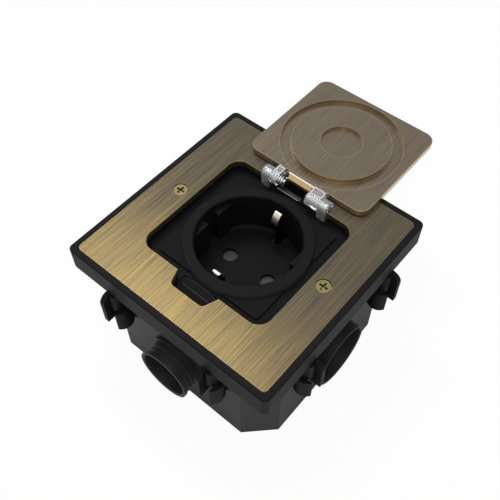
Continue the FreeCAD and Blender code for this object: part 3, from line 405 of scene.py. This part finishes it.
class PlasticSettings(bpy.types.PropertyGroup):
    """Plastics of box, frame, tray and socket."""
    frame: FloatVectorProperty(
        name="Frame", description="Colour of the top frame", subtype="COLOR",
        size=3, min=0.0, max=1.0, default=(0.0035, 0.0035, 0.0037))
    box: FloatVectorProperty(
        name="Box", description="Colour of the back box", subtype="COLOR",
        size=3, min=0.0, max=1.0, default=(0.009, 0.009, 0.0094))
    socket: FloatVectorProperty(
        name="Socket", description="Colour of the socket, the tray and the lever",
        subtype="COLOR", size=3, min=0.0, max=1.0, default=(0.0036, 0.0036, 0.0038))
    shutter: FloatVectorProperty(
        name="Shutter", description="Colour of the shutter", subtype="COLOR",
        size=3, min=0.0, max=1.0, default=(0.024, 0.024, 0.024))


class HingeSettings(bpy.types.PropertyGroup):
    """Coil of the lid's spring."""
    coil_radius: FloatProperty(
        name="Coil radius", description="Mean radius of the coil", default=1.8 * MM,
        min=0.0005, max=0.005, unit="LENGTH")
    wire_radius: FloatProperty(
        name="Wire radius", description="Radius of the spring wire", default=0.26 * MM,
        min=0.0001, max=0.001, unit="LENGTH")


class StageSettings(bpy.types.PropertyGroup):
    """Floor, lights and camera."""
    sky: FloatProperty(
        name="Sky", description="Strength of the even light from all sides", default=0.62,
        min=0.0, max=5.0)
    side_power: FloatProperty(
        name="Side light", description="Power of the long light at the left", default=1.75,
        min=0.0, max=200.0, unit="POWER")
    top_power: FloatProperty(
        name="Top light", description="Power of the light above", default=3.0,
        min=0.0, max=200.0, unit="POWER")
    lens: FloatProperty(
        name="Lens", description="Focal length of the camera", default=50.0,
        min=10.0, max=300.0, unit="CAMERA")
    floor_size: FloatProperty(
        name="Floor size", description="Width of the floor", default=12.0,
        min=1.0, max=50.0, unit="LENGTH")


# ------------------------------------------------------------------ operators
class FinishBrass(bpy.types.Operator):
    """Gives the cover plate and the lid their brushed brass"""
    bl_idname = "floor_socket.brass"
    bl_label = "Brass"

    def execute(self, context):
        look = context.scene.floor_socket_brass
        plate = brushed_brass("brushed brass", tuple(look.dark), tuple(look.light), look.streak,
                              highlight_gain=3.0)
        lid = brushed_brass("lid brass", tuple(look.lid_dark), tuple(look.lid_light),
                            look.streak * 1.5, highlight_gain=2.9)
        dress(["cover_plate"], plate, SHARP_ANGLE_BRASS)
        dress(["lid"], lid, SHARP_ANGLE_BRASS)
        return {"FINISHED"}


class FinishPlastics(bpy.types.Operator):
    """Gives box, frame, sleeves, tray, lever, socket and shutter their moulded plastics"""
    bl_idname = "floor_socket.plastics"
    bl_label = "Plastics"

    # The socket's walls are paler outside this radius, in mm: a painted light.
    PAINTED_LIGHT_FROM = 22.0

    # Painted shadow strip and pale rib, a painted highlight, on the lever, in mm: place along y,
    # depth below the lever's top and radius.
    STRIP_Y, STRIP_DEPTH, STRIP_RADIUS = -25.45, 0.28, 0.17
    STRIP_BOW = 1.0
    STRIP_STEPS = 12
    RIB_Y, RIB_DEPTH, RIB_RADIUS = -28.9, 0.10, 0.12
    RIB_SHARE = 5 / 6
    RIB_STEPS = 5
    END_GAP = 0.1

    def execute(self, context):
        look = context.scene.floor_socket_plastic
        frame_skin = moulded("frame plastic", tuple(look.frame), 0.50, gloss=0.07)
        box_skin = moulded("box plastic", tuple(look.box), 0.50, gloss=0.25, grain=0.8)
        # Painted shade: the bosses get a darker copy of the box plastic.
        boss_painted_shade = moulded("boss plastic painted shade", shade(look.box, 0.4), 0.55, gloss=0.10, grain=0.8)
        tray_skin = moulded("tray plastic", tuple(look.socket), 0.50, gloss=0.05, grain=0.8)
        socket_skin = moulded("socket plastic", tuple(look.socket), 0.50, gloss=0.06,
                              lit_from=self.PAINTED_LIGHT_FROM)
        grey = moulded("shutter plastic", tuple(look.shutter), 0.45)
        dress(["top_frame", "frame_posts", "frame_hooks"], frame_skin)
        dress(["back_box", "conduit_sleeve_front", "conduit_sleeve_side"], box_skin)
        dress(["box_bosses"], boss_painted_shade)
        dress(["tray", "lift_lever"], tray_skin)
        dress(["socket_cup"], socket_skin)
        dress(["shutter"], grey)
        dress(["contact_base"], moulded("base plastic", (0.020, 0.020, 0.020), 0.50))
        dress(["plate_gasket"], rubbery("gasket rubber", (0.012, 0.012, 0.012)))
        self.lever_lines(grey)
        return {"FINISHED"}

    def lever_lines(self, grey):
        """Near-black strip behind the lever's round back edge, a painted shadow in the gap, and the
        fine pale rib on its crest, a painted highlight.
        """
        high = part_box("lift_lever")[1]
        top = high.z / MM
        reach = high.x / MM - self.END_GAP
        # Painted shadow: a near-black strip fills the gap behind the lever's back edge.
        painted_shadow = rubbery("painted_shadow", (0.0008, 0.0008, 0.0008))
        strip = []
        for step in range(-self.STRIP_STEPS, self.STRIP_STEPS + 1):
            share = step / self.STRIP_STEPS
            strip.append((reach * share, self.STRIP_Y - self.STRIP_BOW * share ** 2,
                          top - self.STRIP_DEPTH))
        wire("lever_back_painted_shadow", strip, self.STRIP_RADIUS, False, painted_shadow, "lever")
        # Painted highlight: a pale grey line along the lever's crest.
        rib = [(reach * self.RIB_SHARE * step / self.RIB_STEPS, self.RIB_Y, top - self.RIB_DEPTH)
               for step in range(-self.RIB_STEPS, self.RIB_STEPS + 1)]
        wire("lever_crest_painted_highlight", rib, self.RIB_RADIUS, False, grey, "lever")


class FinishMetals(bpy.types.Operator):
    """Gives screws, pins, clips, contacts and terminals their metals"""
    bl_idname = "floor_socket.metals"
    bl_label = "Metals"

    # Below the deck, in mm: the clips take a painted shade under the first and their plain plating
    # over the second.
    TARNISH_DEPTH, BRIGHT_DEPTH = 8.6, 6.6

    # Contact humps, in mm: distance from the middle, depth below the deck and half sizes.
    HUMP_OUT, HUMP_DEPTH = 17.7, 4.9
    HUMP_HALF_OUT, HUMP_HALF_UP = 1.05, 1.0

    # Groove along a hump, as shares of its height and of its half length.
    GROOVE_DEPTH, GROOVE_WIDTH = 0.35, 0.25
    FACES_ACROSS, FACES_AROUND = 10, 14

    def execute(self, context):
        # Painted shade: the clips go dark deep in the pocket.
        nickel = spring_clip("nickel plate", (0.72, 0.67, 0.56), (0.020, 0.018, 0.008),
                             DECK_MM - self.TARNISH_DEPTH, DECK_MM - self.BRIGHT_DEPTH)
        steel = metal("plated steel", (0.55, 0.54, 0.52), 0.28)
        black = metal("black oxide steel", (0.035, 0.035, 0.035), 0.40)
        yellow = metal("contact brass", (0.72, 0.52, 0.24), 0.26)
        dress(["earth_strap"], nickel)
        dress(["plate_screws"], metal("bronzed screw", (0.16, 0.14, 0.062), 0.34))
        dress(["socket_screws", "base_screws", "terminal_screws", "hinge_pin_left",
               "hinge_pin_right"], steel)
        dress(["lever_pin", "lever_spring"], black)
        dress(["phase_contact", "neutral_contact", "phase_terminal", "neutral_terminal",
               "earth_terminal"], yellow)
        self.clip_tips(nickel)
        return {"FINISHED"}

    def clip_tips(self, nickel):
        """Pressed contact humps, grooved along the middle, on the ends of the two earth clips."""
        low, high = (corner.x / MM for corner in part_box("earth_strap"))
        middle, half = (low + high) / 2, (high - low) / 2

        def line(work, side, turn):
            corners = []
            for at in range(self.FACES_ACROSS + 1):
                share = 2.0 * at / self.FACES_ACROSS - 1.0
                groove = self.GROOVE_DEPTH * math.exp(-(share / self.GROOVE_WIDTH) ** 2)
                swell = math.sqrt(max(0.0, 1.0 - share * share)) * (1.0 - groove)
                out = self.HUMP_OUT + self.HUMP_HALF_OUT * swell * math.cos(turn)
                up = self.HUMP_HALF_UP * swell * math.sin(turn) - self.HUMP_DEPTH
                spot = point(middle + half * share, side * out, DECK_MM + up)
                corners.append(work.verts.new(spot))
            return corners

        def build(work):
            for side in (-1, 1):
                rows = [line(work, side, math.pi * step / self.FACES_AROUND)
                        for step in range(self.FACES_AROUND + 1)]
                for first, second in zip(rows, rows[1:]):
                    for at in range(self.FACES_ACROSS):
                        work.faces.new((first[at], first[at + 1], second[at + 1], second[at]))
            bmesh.ops.remove_doubles(work, verts=work.verts, dist=WELD)

        new_piece("earth_clip_humps", build, nickel, "housing")


class BuildHinge(bpy.types.Operator):
    """Gives the knuckles their clear plastic, winds the lid's spring and adds small trim"""
    bl_idname = "floor_socket.hinge"
    bl_label = "Hinge"

    # Sizes are in mm: x runs along the hinge, y towards the open lid and z up.
    CLEAR = (0.90, 0.93, 0.95)
    THIN_WALL = (-8.3, 30.6)
    COIL_PITCH = 0.98
    COIL_STEPS = 24
    COIL_ROUNDING = 2

    # Ribbed slope: run and fall of its face, depths of its land and skirt, rise of a rib.
    TONGUE_X = (-5.35, 5.3)
    TONGUE_DEPTH = 0.55
    TONGUE_RUN, TONGUE_FALL = 1.25, 1.5
    TONGUE_LAND, TONGUE_SKIRT = 0.15, 1.2
    RIBS = 11
    RIB_RISE = 0.10
    GROOVE_PITCH = 0.97

    BAR_X, BAR_Y, BAR_DEPTH, BAR_RADIUS = (-5.9, 6.3), 0.20, 0.45, 0.36
    LIP_X, LIP_Y, LIP_DEPTH, LIP_RADIUS = (-8.3, 2.0), 27.2, 3.85, 0.09
    CAP_X, CAP_DEPTH, CAP_END = (-8.2, 2.6), 3.98, 0.2
    CAP_SECTION = ((27.3, 0.0), (27.3, 0.10), (27.5, 0.22), (29.1, 0.22), (29.1, 0.0))
    RIM_X = {"left": (-11.1, -8.5), "right": (6.3, 11.0)}
    RIM_Y, RIM_DEPTH, RIM_RADIUS = (28.7, 31.9), 0.02, 0.2
    CATCH_X, CATCH_Y, CATCH_RADIUS = (3.4, 4.9), (30.3, 31.0), 0.16
    CATCH_DEPTH = (0.6, 1.4)

    def execute(self, context):
        look = context.scene.floor_socket_hinge
        # Painted highlight: pale plastic for the bar over the tongue and the rims on the arms.
        highlight_pale = moulded("pale plastic painted highlight", (0.62, 0.60, 0.58), 0.30)
        dress(["lid_arm_right", "hinge_bracket_left", "hinge_bracket_right"],
              clear("clear plastic", self.CLEAR))
        dress(["lid_arm_left"], clear("clear sleeve", self.CLEAR, self.THIN_WALL))
        self.coil(look)
        self.tongue(highlight_pale)
        self.beam()
        self.rims(highlight_pale)
        self.catch()
        return {"FINISHED"}

    def coil(self, look):
        """Steel coil on the hinge's axis, in the place of the plain spring."""
        low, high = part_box("hinge_spring")
        start = low.x + look.wire_radius
        length = high.x - low.x - 2 * look.wire_radius
        turns = length / (self.COIL_PITCH * MM)
        steps = int(turns * self.COIL_STEPS)
        spots = []
        for step in range(steps + 1):
            angle = 2 * math.pi * turns * step / steps
            spots.append(Vector((start + length * step / steps,
                                 HINGE[1] + look.coil_radius * math.cos(angle),
                                 HINGE[2] + look.coil_radius * math.sin(angle))) / MM)
        item = wire("lid_spring_coil", spots, look.wire_radius / MM, False,
                    metal("spring wire", (0.78, 0.78, 0.80), 0.20), "housing",
                    self.COIL_ROUNDING)
        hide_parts("hinge_spring")

    def tongue(self, highlight_pale):
        """Ribbed slope in front of the lid's tongue, in a brass much brighter than the lid's as a
        painted highlight, and the pale bar over it, a painted highlight along its top arris.
        """
        left, right = self.TONGUE_X
        back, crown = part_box("lid")[0].y / MM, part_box("lid")[1].z / MM
        top = crown - self.TONGUE_DEPTH
        front, low = back - self.TONGUE_RUN, top - self.TONGUE_FALL
        foot = low - self.TONGUE_SKIRT
        step = (right - left) / (2 * self.RIBS)

        def build(work):
            sections = []
            for at in range(2 * self.RIBS):
                rise = self.RIB_RISE if at % 2 else 0.0
                outline = ((back, foot), (back, top), (back - self.TONGUE_LAND - rise, top + rise),
                           (front - rise, low + rise), (front, foot))
                for x in (left + step * at, left + step * (at + 1)):
                    sections.append([(x, y, z) for y, z in outline])
            loft(work, sections)
            bmesh.ops.remove_doubles(work, verts=work.verts, dist=WELD)

        # Painted highlight: the slope is the lid's brass made much brighter.
        lit_brass = ribbed("lid brass painted highlight", (0.70, 0.50, 0.25), (0.36, 0.22, 0.09), self.GROOVE_PITCH)
        new_piece("lid_tongue_slope", build, lit_brass, "lid")
        bar = [(x, back + self.BAR_Y, crown - self.BAR_DEPTH) for x in self.BAR_X]
        wire("lid_tongue_bar", bar, self.BAR_RADIUS, False, highlight_pale, "lid")

    def beam(self):
        """Pale lip along the beam's front edge, a painted highlight, and glossy cap, sloped at its
        front edge, on the tray's hinge beam.
        """
        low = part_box("hinge_bracket_left")[1].x / MM
        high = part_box("hinge_bracket_right")[0].x / MM
        # Painted highlight: a pale grey lip along the beam's front edge.
        lip = [(x, self.LIP_Y, DECK_MM - self.LIP_DEPTH)
               for x in (max(low, self.LIP_X[0]), min(high, self.LIP_X[1]))]
        wire("hinge_beam_lip_highlight", lip, self.LIP_RADIUS, False,
             moulded("lip plastic painted highlight", (0.30, 0.30, 0.30), 0.35), "housing")

        def build(work):
            left, right = max(low, self.CAP_X[0]), min(high, self.CAP_X[1])
            seat = DECK_MM - self.CAP_DEPTH
            loft(work, [[(x, y, seat + up) for y, up in self.CAP_SECTION]
                        for x in (left, left + self.CAP_END, right - self.CAP_END, right)])

        new_piece("hinge_beam_cap", build,
                  moulded("cap plastic", (0.010, 0.010, 0.010), 0.42, gloss=0.2),
                  "housing")

    def rims(self, highlight_pale):
        """Raised pale rims on the clear arms, a painted highlight along their edges."""
        front, back = self.RIM_Y
        for side, (left, right) in self.RIM_X.items():
            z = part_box("lid_arm_" + side)[1].z / MM - self.RIM_DEPTH
            rim = [(left, front, z), (right, front, z), (right, back, z), (left, back, z)]
            wire("lid_arm_%s_rim" % side, rim, self.RIM_RADIUS, True, highlight_pale, "lid")

    def catch(self):
        """Gilt loop that holds the spring's free end."""
        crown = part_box("lid")[1].z / MM
        (left, right), (front, back) = self.CATCH_X, self.CATCH_Y
        high, low = (crown - depth for depth in self.CATCH_DEPTH)
        loop = [(left, back, high), (left, front, low), (right, front, low), (right, back, high)]
        wire("lid_spring_catch", loop, self.CATCH_RADIUS, True,
             metal("gilt wire", (0.62, 0.44, 0.20), 0.22), "lid")


class BuildStage(bpy.types.Operator):
    """Sets the floor, the lights and the camera"""
    bl_idname = "floor_socket.stage"
    bl_label = "Stage"

    # Places are in metres and angles in degrees.
    LAMP_AIM = (0.0, 0.0, 0.05)
    CAMERA_SPOT = (0.0986, -0.11535, DECK + 0.2032)
    AZIMUTH, ELEVATION, ROLL = 40.307, 54.447, -0.16
    SENSOR_MM = 36.0
    FLOOR_GLOW = 0.96

    def execute(self, context):
        look = context.scene.floor_socket_stage
        scene = context.scene
        scene.view_settings.view_transform = "Standard"
        self.floor(look)
        self.sky(scene, look)
        self.lamp("side light", (-0.28, 0.155, 0.67), 0.34, 0.12, look.side_power)
        self.lamp("top light", (0.15, -0.25, 0.85), 0.60, 0.60, look.top_power)
        self.camera(scene, look)
        return {"FINISHED"}

    def floor(self, look):
        """Pale floor that looks white to the camera and keeps a little of the shadow."""
        mesh = bpy.data.meshes.new("floor")
        half = look.floor_size / 2
        mesh.from_pydata([(-half, -half, 0), (half, -half, 0), (half, half, 0), (-half, half, 0)],
                         [], [(0, 1, 2, 3)])
        item = bpy.data.objects.new("floor", mesh)
        bpy.context.scene.collection.objects.link(item)
        paint = Finish("floor paint")
        paint.set(base_color=(0.86, 0.86, 0.86), roughness=0.9, specular_ior_level=0.1)
        plain = Wire(paint, paint.shader.outputs[0])
        glow = paint.add("ShaderNodeEmission", {}, {"Color": WHITE, "Strength": 0.99})
        seen = paint.add("ShaderNodeLightPath", output="Is Camera Ray")
        blend = paint.add("ShaderNodeMixShader", {}, [seen * self.FLOOR_GLOW, plain, glow])
        paint.surface("Material Output", blend)
        mesh.materials.append(paint.material)

    def sky(self, scene, look):
        """Even light from all sides, white to the camera, to gloss and through clear plastic."""
        world = bpy.data.worlds.new("studio")
        world.use_nodes = True
        studio = Nodes(world.node_tree)
        camera, glossy, through = [
            studio.add("ShaderNodeLightPath", output="Is %s Ray" % kind)
            for kind in ("Camera", "Glossy", "Transmission")]
        even = studio.add("ShaderNodeBackground", {}, {"Color": WHITE, "Strength": look.sky})
        bright = studio.add("ShaderNodeBackground", {}, {"Color": WHITE, "Strength": 1.0})
        seen = camera.most(glossy).most(through)
        blend = studio.add("ShaderNodeMixShader", {}, [seen, even, bright])
        studio.surface("World Output", blend)
        scene.world = world

    def lamp(self, name, spot, width, depth, power):
        """Rectangular light aimed at the object."""
        data = bpy.data.lights.new(name, "AREA")
        data.shape = "RECTANGLE"
        data.size = width
        data.size_y = depth
        data.energy = power
        item = bpy.data.objects.new(name, data)
        item.location = spot
        back = (Vector(spot) - Vector(self.LAMP_AIM)).normalized()
        along = Vector((0.0, 1.0, 0.0)).cross(back).normalized()
        item.rotation_euler = Matrix((along, back.cross(along), back)).transposed().to_euler()
        bpy.context.scene.collection.objects.link(item)

    def camera(self, scene, look):
        """Camera above the front corner, looking down at the socket."""
        data = bpy.data.cameras.new("camera")
        data.lens = look.lens
        data.sensor_width = self.SENSOR_MM
        item = bpy.data.objects.new("camera", data)
        item.location = self.CAMERA_SPOT
        turn = Matrix.Rotation(math.radians(self.AZIMUTH), 3, "Z")
        tilt = Matrix.Rotation(math.radians(90.0 - self.ELEVATION), 3, "X")
        roll = Matrix.Rotation(math.radians(self.ROLL), 3, "Z")
        item.rotation_euler = (turn @ tilt @ roll).to_euler()
        scene.collection.objects.link(item)
        scene.camera = item


class FloorSocketPanel(bpy.types.Panel):
    """Lists the steps and their settings in the 3D view's sidebar"""
    bl_idname = "VIEW3D_PT_floor_socket"
    bl_label = "Floor socket"
    bl_space_type = "VIEW_3D"
    bl_region_type = "UI"
    bl_category = "Floor socket"

    def draw(self, context):
        column = self.layout.column(align=True)
        for step in STEPS:
            column.operator(step.bl_idname)
        for group in GROUPS:
            settings = getattr(context.scene, group)
            for name in settings.__annotations__:
                column.prop(settings, name)


STEPS = (FinishBrass, FinishPlastics, FinishMetals, BuildHinge, BuildStage)
GROUPS = {"floor_socket_brass": BrassSettings, "floor_socket_plastic": PlasticSettings,
          "floor_socket_hinge": HingeSettings, "floor_socket_stage": StageSettings}


def register():
    for name, group in GROUPS.items():
        bpy.utils.register_class(group)
        setattr(bpy.types.Scene, name, PointerProperty(type=group))
    for step in STEPS:
        bpy.utils.register_class(step)
    bpy.utils.register_class(FloorSocketPanel)


def unregister():
    bpy.utils.unregister_class(FloorSocketPanel)
    for step in reversed(STEPS):
        bpy.utils.unregister_class(step)
    for name, group in GROUPS.items():
        delattr(bpy.types.Scene, name)
        bpy.utils.unregister_class(group)


def main():
    register()
    for step in STEPS:
        family, action = step.bl_idname.split(".")
        getattr(getattr(bpy.ops, family), action)()


if __name__ == "__main__":
    main()
